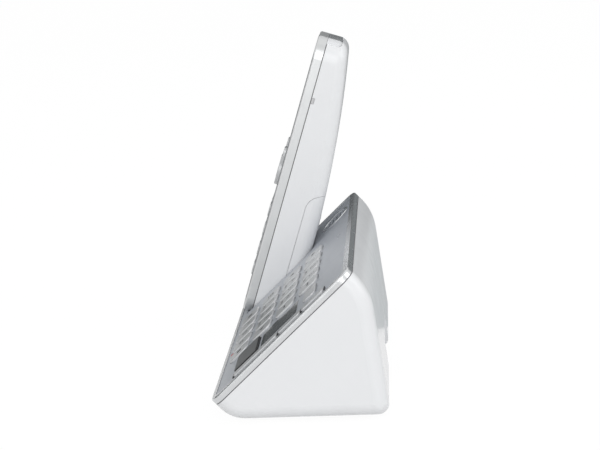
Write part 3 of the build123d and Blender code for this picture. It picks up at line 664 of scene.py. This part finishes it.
# Clip notch: in from the side, up from the foot and back from the shell's front edge
NOTCH_MIDDLE = Vector((0.5, 125.7, 1.1)) * MM
NOTCH_PLUG = Vector((0.5, 3.0, 1.9)) * MM
NOTCH_EDGE = 0.2 * MM


def notch_plugs(finish):
    """Rubber plug in the clip notch at each side of the handset, just below the surface."""
    low, high = local_box("handset_rear_shell", HAND)
    shape = bmesh.new()
    for x in (low.x + NOTCH_MIDDLE.x, high.x - NOTCH_MIDDLE.x):
        middle = Vector((x, low.y + NOTCH_MIDDLE.y, high.z - NOTCH_MIDDLE.z))
        rounded_bar(shape, NOTCH_PLUG, HAND @ Matrix.Translation(middle), NOTCH_EDGE)
    piece_from(shape, "handset_notch_plugs", finish, "handset")


# Dark seam bands, painted shade of the grooves between trims and cases: height, inset, wall and rounding
# steps
SEAM_HEIGHT = 0.5 * MM
SEAM_INSET = 0.15 * MM
SEAM_WALL = 0.3 * MM
SEAM_STEPS = 12

# Corner radii of the trims: foot and top of the handset, front and rear of the face
HANDSET_CORNERS = (9.0 * MM, 12.0 * MM)
FACE_CORNERS = (7.0 * MM, 7.0 * MM)


def painted_seam_shade_band(name, axes, trim, case, radii, body, finish):
    """Dark band in the seam between a trim and its case, put there as painted shade of the groove, with
    the radii of the trim's corners.
    """
    inset = Vector((SEAM_INSET, SEAM_INSET, 0.0))
    low, high = local_box(trim, axes)
    high.z = local_box(case, axes)[1].z
    low.z = high.z - SEAM_HEIGHT
    low, high = low + inset, high - inset
    shape = bmesh.new()
    made = bmesh.ops.create_cube(shape, size=1.0)
    bmesh.ops.scale(shape, vec=high - low, verts=made["verts"])
    bmesh.ops.translate(shape, vec=(low + high) / 2.0, verts=made["verts"])
    for radius, y in zip(radii, (low.y, high.y)):
        upright = [
            edge for edge in shape.edges
            if all(abs(end.co.y - y) < SEAM_INSET for end in edge.verts)
            and abs(edge.verts[0].co.z - edge.verts[1].co.z) > SEAM_INSET
        ]
        round_edges(shape, upright, radius - SEAM_INSET, SEAM_STEPS)
    flat = [face for face in shape.faces if abs(face.normal.z) > 0.9]
    bmesh.ops.delete(shape, geom=flat, context="FACES_ONLY")
    bmesh.ops.recalc_face_normals(shape, faces=shape.faces)
    bmesh.ops.solidify(shape, geom=list(shape.faces), thickness=SEAM_WALL)
    bmesh.ops.transform(shape, matrix=axes, verts=shape.verts)
    piece_from(shape, name, finish, body)


def painted_seam_shade_bands(finish):
    bezel, shell = "handset_bezel", "handset_rear_shell"
    painted_seam_shade_band("handset_seam_shade", HAND, bezel, shell, HANDSET_CORNERS, "handset", finish)
    painted_seam_shade_band("base_seam_shade", FACE, "face_frame", "base_shell", FACE_CORNERS, "base", finish)


# Door lip: half the width over both lips, each lip's wall and depth, and its run round the top corner
DOOR_CORNER = 9.0 * MM
LIP_OUT = 21.18 * MM
LIP_SIZE = Vector((0.8, 1.45)) * MM
LIP_OVERLAP = 0.15 * MM
LIP_START = 4.0 * MM
LIP_TURN = radians(74.0)
LIP_STEPS = 10


def door_lip(finish):
    """Pale lip behind each side edge of the battery door, which closes the door's gap."""
    low, high = local_box("battery_door", HAND)
    middle = (low.x + high.x) / 2.0
    corner = Vector((middle, high.y - DOOR_CORNER, high.z - DOOR_CORNER))
    stand_up = Matrix.Rotation(radians(90.0), 4, "X")
    shape = bmesh.new()
    for side in (-1.0, 1.0):
        x = middle + side * (LIP_OUT - LIP_SIZE.x / 2.0)
        start = Matrix.Translation((x, low.y + LIP_START, high.z + LIP_OVERLAP - LIP_SIZE.y / 2.0))
        square = bmesh.ops.create_grid(shape, x_segments=1, y_segments=1, size=0.5)
        bmesh.ops.scale(shape, vec=(LIP_SIZE.x, LIP_SIZE.y, 1.0), verts=square["verts"])
        bmesh.ops.transform(shape, matrix=start @ stand_up, verts=square["verts"])
        face = square["verts"][0].link_faces[0]
        run = bmesh.ops.extrude_face_region(shape, geom=[face], use_keep_orig=True)
        moved = [part for part in run["geom"] if isinstance(part, bmesh.types.BMVert)]
        bmesh.ops.translate(shape, verts=moved, vec=(0.0, corner.y - low.y - LIP_START, 0.0))
        end = [part for part in run["geom"] if isinstance(part, bmesh.types.BMFace)]
        bmesh.ops.spin(
            shape, geom=end, cent=corner, axis=(1.0, 0.0, 0.0), angle=-LIP_TURN, steps=LIP_STEPS)
        bmesh.ops.delete(shape, geom=end, context="FACES_ONLY")
    bmesh.ops.transform(shape, matrix=HAND, verts=shape.verts)
    piece_from(shape, "battery_door_lip", finish, "handset")


# Red lamp: right of the base's middle, and up the slope from the frame's front edge
RED_LAMP_PLACE = Vector((31.8, 6.3)) * MM
RED_LAMP = Plate(DOT, 1.1)


def red_lamp(finish):
    """Small round indicator on the panel, in front of the keys."""
    front = local_box("face_frame", FACE)[0].y
    surface = local_box("face_panel", FACE)[1].z
    place = FACE @ Matrix.Translation((RED_LAMP_PLACE.x, front + RED_LAMP_PLACE.y, surface))
    shape = bmesh.new()
    plate_shape(shape, RED_LAMP)
    bmesh.ops.transform(shape, matrix=place, verts=shape.verts)
    piece_from(shape, "red_lamp", finish, "base")


# Grille ring: radius of the bead's middle, half its width and its rise
RING_RADIUS = 9.3 * MM
RING_HALF = 0.7 * MM
RING_RISE = 0.35 * MM
RING_STEPS = 72
BEAD_SIDES = 12


def grille_ring(finish):
    """Bright trim ring round the speaker grille: a low rounded bead on the panel."""
    low, high = local_box("base_speaker", FACE)
    middle = (low + high) / 2.0
    surface = local_box("face_panel", FACE)[1].z
    bead = Matrix.Translation((RING_RADIUS, 0.0, 0.0)) @ Matrix.Rotation(radians(90.0), 4, "X")
    shape = bmesh.new()
    made = bmesh.ops.create_circle(shape, segments=BEAD_SIDES, radius=1.0)
    bmesh.ops.scale(shape, vec=(RING_HALF, RING_RISE, 1.0), verts=made["verts"])
    bmesh.ops.transform(shape, matrix=bead, verts=made["verts"])
    bmesh.ops.spin(
        shape, geom=list(shape.edges), cent=(0.0, 0.0, 0.0), axis=OUTWARD, angle=2.0 * pi,
        steps=RING_STEPS, use_merge=True)
    place = FACE @ Matrix.Translation((middle.x, middle.y, surface))
    bmesh.ops.transform(shape, matrix=place, verts=shape.verts)
    piece_from(shape, "grille_ring", finish, "base")


# Dark ribs of painted shade at the side keys: height over all, rise of the middle above the panel, width
# and gap to the key's end
GAP_SHADE_HEIGHT = 0.65 * MM
GAP_SHADE_RISE = 0.225 * MM
GAP_SHADE_WIDTH = 0.5 * MM
GAP_SHADE_OFFSET = 0.5 * MM
GAP_SHADE_EDGE = 0.1 * MM
SIDE_KEY_CROWN = 0.2 * MM


def key_gap_shade_ribs(finish):
    """Dark ribs at the ends of the side keys and in the gaps between them: painted shade of the gaps
    round the keys.
    """
    surface = local_box("face_panel", FACE)[1].z
    low, high = top_box("side_key_1", FACE, SIDE_KEY_CROWN)
    size = Vector((high.x - low.x, GAP_SHADE_WIDTH, GAP_SHADE_HEIGHT))
    ends = [local_box(f"side_key_{number}", FACE) for number in (1, 2, 3)]
    shape = bmesh.new()
    for y in [ends[0][0].y - GAP_SHADE_OFFSET] + [end.y + GAP_SHADE_OFFSET for _, end in ends]:
        middle = Vector(((low.x + high.x) / 2.0, y, surface + GAP_SHADE_RISE))
        rounded_bar(shape, size, FACE @ Matrix.Translation(middle), GAP_SHADE_EDGE)
    piece_from(shape, "side_key_gap_shade_ribs", finish, "base")


# Which finish goes on which piece

def dress(nodes, finish):
    for node in nodes:
        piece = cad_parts[node]
        if not piece.material_slots:
            piece.data.materials.append(finish.material)
        for holder in piece.material_slots:
            holder.material = finish.material


DESK_LENS_BORDER = 1.6 * MM
HAND_LENS_BORDER = 2.6 * MM


def dress_cases(white):
    dress(["base_shell", "bottom_plate", "handset_rear_shell", "battery_door"], white)
    dress(["face_frame"], silver_paint("silver_frame", (0.61, 0.62, 0.63), roughness=0.26, metal=0.8))
    dress(["handset_bezel"], silver_paint("silver_bezel", (0.59, 0.60, 0.605), roughness=0.32, metal=0.6))
    panel = gloss_moulding("panel_grey", (0.425, 0.45, 0.49), roughness=0.30, spread=0.02, peel=0.04)
    dress(["face_panel", "handset_cradle"], panel)
    dress(["ringer_lamp"], lamp_finish())
    dress(["rubber_feet"], rubber_finish("pale_feet", (0.62, 0.62, 0.62)))


def dress_keys():
    caps = silver_paint("silver_caps", (0.57, 0.58, 0.59), roughness=0.36, metal=0.3)
    rows = [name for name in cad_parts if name.startswith(("key_row", "side_key", "handset_dial"))]
    dress(rows + ["menu_key", "talk_key", "end_key", "navigation_key"], caps)
    dress(["answer_key"], answer_key_finish())
    dress(["base_key_mat", "handset_key_mat"], rubber_finish("key_mat_rubber", (0.20, 0.20, 0.21)))


def dress_displays():
    smoke = (0.10, 0.104, 0.108)
    dark_smoke = (0.055, 0.06, 0.062)
    desk_lens = lens_finish("desk_window", "display_lens", FACE, DESK_LENS_BORDER, smoke)
    hand_lens = lens_finish("handset_window", "handset_display_lens", HAND, HAND_LENS_BORDER, dark_smoke)
    dress(["display_lens"], desk_lens)
    dress(["handset_display_lens"], hand_lens)
    dress(["display_module"], liquid_crystal("desk_display", FACE))
    dress(["handset_display_module"], liquid_crystal("handset_display", HAND))


def dress_inner_pieces(gold):
    dress(["line_socket", "power_socket", "earpiece", "microphone"], black_moulding())
    dress(["base_speaker"], speaker_cloth())
    dress(["base_circuit_board"], board_finish("desk_board", FACE))
    dress(["handset_circuit_board"], board_finish("handset_board", HAND))
    zinc = plated_metal("zinc_screws", (0.58, 0.58, 0.57), roughness=0.34)
    dress(["base_screws", "handset_screws"], zinc)
    dress(["cradle_contacts", "charge_plates"], gold)
    dress(["battery_cells"], cell_sleeve())


# Studio

FLOOR_HALF = 20.0
FLOOR_GRID = 8
FLOOR_GLOW = 1.06
FLOOR_GLOW_SHARE = 0.9
CARD_TINT = (0.91, 1.0, 1.03)
AMBIENT = 0.52
LAMP_TARGET = Vector((0.0, 0.0, 0.08))


def ray_mask(nodes):
    """1 for rays from the camera and for reflections and see-through rays."""
    camera = nodes.node("LightPath", {}, {}, "Is Camera Ray")
    glossy = nodes.node("LightPath", {}, {}, "Is Glossy Ray")
    clear = nodes.node("LightPath", {}, {}, "Is Transmission Ray")
    return camera.most(glossy).most(clear)


def make_floor():
    """Pale paper that looks white and keeps the object's shadow."""
    paper = Finish("pale_paper", {"Base Color": shade((0.66, 0.66, 0.66)), "Roughness": 0.9})
    glow = paper.node("Emission", {}, {"Color": shade((1.0, 1.0, 1.0)), "Strength": FLOOR_GLOW})
    plain = Value(paper, paper.shader.outputs[0])
    mixed = paper.node("MixShader", {}, {0: ray_mask(paper) * FLOOR_GLOW_SHARE, 1: plain, 2: glow})
    paper.put(paper.tree.nodes["Material Output"].inputs["Surface"], mixed)
    shape = bmesh.new()
    bmesh.ops.create_grid(shape, x_segments=FLOOR_GRID, y_segments=FLOOR_GRID, size=FLOOR_HALF)
    floor = object_from(shape, "floor", paper)


def make_card(name, place, size, tone):
    """A grey card beside the object that only its gloss can see: a thin box of a size at a place."""
    paint = Finish(name, {
        "Base Color": shade((0.0, 0.0, 0.0)), "Roughness": 1.0,
        "Emission Color": shade(CARD_TINT, tone), "Emission Strength": 1.0,
    })
    shape = bmesh.new()
    bmesh.ops.create_cube(shape, size=1.0)
    bmesh.ops.scale(shape, vec=size, verts=shape.verts)
    bmesh.ops.translate(shape, vec=place, verts=shape.verts)
    card = object_from(shape, name, paint)
    card.visible_camera = False
    card.visible_diffuse = False
    card.visible_shadow = False
    card.visible_transmission = False


def make_world():
    """White to the eye and in reflections, dimmer as light on the object."""
    world = bpy.data.worlds.new("studio")
    world.use_nodes = True
    bpy.context.scene.world = world
    sky = Nodes(world.node_tree, "Background")
    sky.feed({
        "Color": shade((1.0, 1.0, 1.0)),
        "Strength": ray_mask(sky) * (1.0 - AMBIENT) + AMBIENT,
    })


def make_lamp(name, place, size, power):
    """A soft box at a place, turned to the object."""
    lamp = bpy.data.lights.new(name, "AREA")
    lamp.shape = "RECTANGLE"
    lamp.size, lamp.size_y = size
    lamp.energy = power
    holder = bpy.data.objects.new(name, lamp)
    holder.location = place
    holder.rotation_mode = "QUATERNION"
    holder.rotation_quaternion = (LAMP_TARGET - Vector(place)).to_track_quat("-Z", "Y")
    bpy.context.scene.collection.objects.link(holder)


def make_camera():
    """Camera at the photograph's place and turn."""
    reach = cos(VIEW_ELEVATION)
    back = Vector((reach * cos(VIEW_AZIMUTH), reach * sin(VIEW_AZIMUTH), sin(VIEW_ELEVATION)))
    level = Vector((-sin(VIEW_AZIMUTH), cos(VIEW_AZIMUTH), 0.0))
    upright = back.cross(level)
    right = cos(VIEW_ROLL) * level + sin(VIEW_ROLL) * upright
    up = cos(VIEW_ROLL) * upright - sin(VIEW_ROLL) * level
    data = bpy.data.cameras.new("photo_view")
    data.lens = VIEW_LENS
    data.sensor_width = VIEW_SENSOR
    data.clip_start = VIEW_NEAR
    data.clip_end = VIEW_FAR
    camera = bpy.data.objects.new("photo_view", data)
    turn = Matrix((right, up, back)).transposed().to_4x4()
    place = right * VIEW_RIGHT + up * VIEW_UP + back * VIEW_DISTANCE + VIEW_ORIGIN
    camera.matrix_world = Matrix.Translation(place) @ turn
    bpy.context.scene.collection.objects.link(camera)
    bpy.context.scene.camera = camera


# The phone

white = gloss_moulding("white_case", (0.82, 0.83, 0.845), roughness=0.24, spread=0.012, peel=0.05)
gold = plated_metal("gold_contacts", (0.83, 0.64, 0.30), roughness=0.26)
dark_ink = ink_finish("dark_ink", (0.05, 0.05, 0.055))
red_ink = ink_finish("red_ink", (0.62, 0.05, 0.05))
green_ink = ink_finish("green_ink", (0.04, 0.36, 0.09))

dress_cases(white)
dress_keys()
dress_displays()
dress_inner_pieces(gold)

door_grip(white)
line_socket_wires(gold)
power_socket_pin(gold)
base_legends(dark_ink)
handset_legends(dark_ink, green_ink, red_ink)
notch_plugs(rubber_finish("notch_rubber", (0.60, 0.60, 0.61)))
# The dark seam bands are painted shade: dark pieces in the grooves between the trims and the cases
painted_seam_shade_bands(rubber_finish("seam_shade_rubber", (0.15, 0.15, 0.155)))
door_lip(gloss_moulding("door_lip_white", (0.80, 0.81, 0.83), roughness=0.4, spread=0.01, peel=0.03))
red_lamp(red_ink)
grille_ring(silver_paint("bright_ring", (0.82, 0.83, 0.84), roughness=0.2, metal=0.9))
# The dark side key ribs are painted shade of the gaps round the side keys
key_gap_shade_ribs(rubber_finish("gap_shade_rubber", (0.05, 0.05, 0.052)))

# The studio round it

make_camera()
make_floor()
make_card("left_card", place=(-0.20, -0.2075, 0.118), size=(0.002, 0.485, 0.235), tone=0.09)
make_card("high_card", place=(-0.20, 0.2425, 0.14), size=(0.002, 0.415, 0.19), tone=0.16)
make_card("front_card", place=(-0.35, -0.5, 0.18), size=(1.1, 0.002, 0.36), tone=0.12)
# The card on the floor behind the base is painted shadow: seen only in reflections, it stands for the
# base's shadow on the floor there
make_card("floor_shadow_card", place=(-0.331, 0.1675, 0.0005), size=(0.538, 0.265, 0.001), tone=0.4)
make_world()
make_lamp("side_light", place=(1.7, 0.1, 0.7), size=(1.6, 1.4), power=14.0)
make_lamp("front_light", place=(0.6, -1.3, 1.2), size=(1.2, 1.2), power=2.5)
make_lamp("rear_light", place=(0.4, 1.4, 0.9), size=(1.0, 1.0), power=5.5)
make_lamp("top_light", place=(-0.3, 0.0, 1.7), size=(1.4, 1.4), power=1.5)
bpy.context.scene.view_settings.view_transform = "Standard"
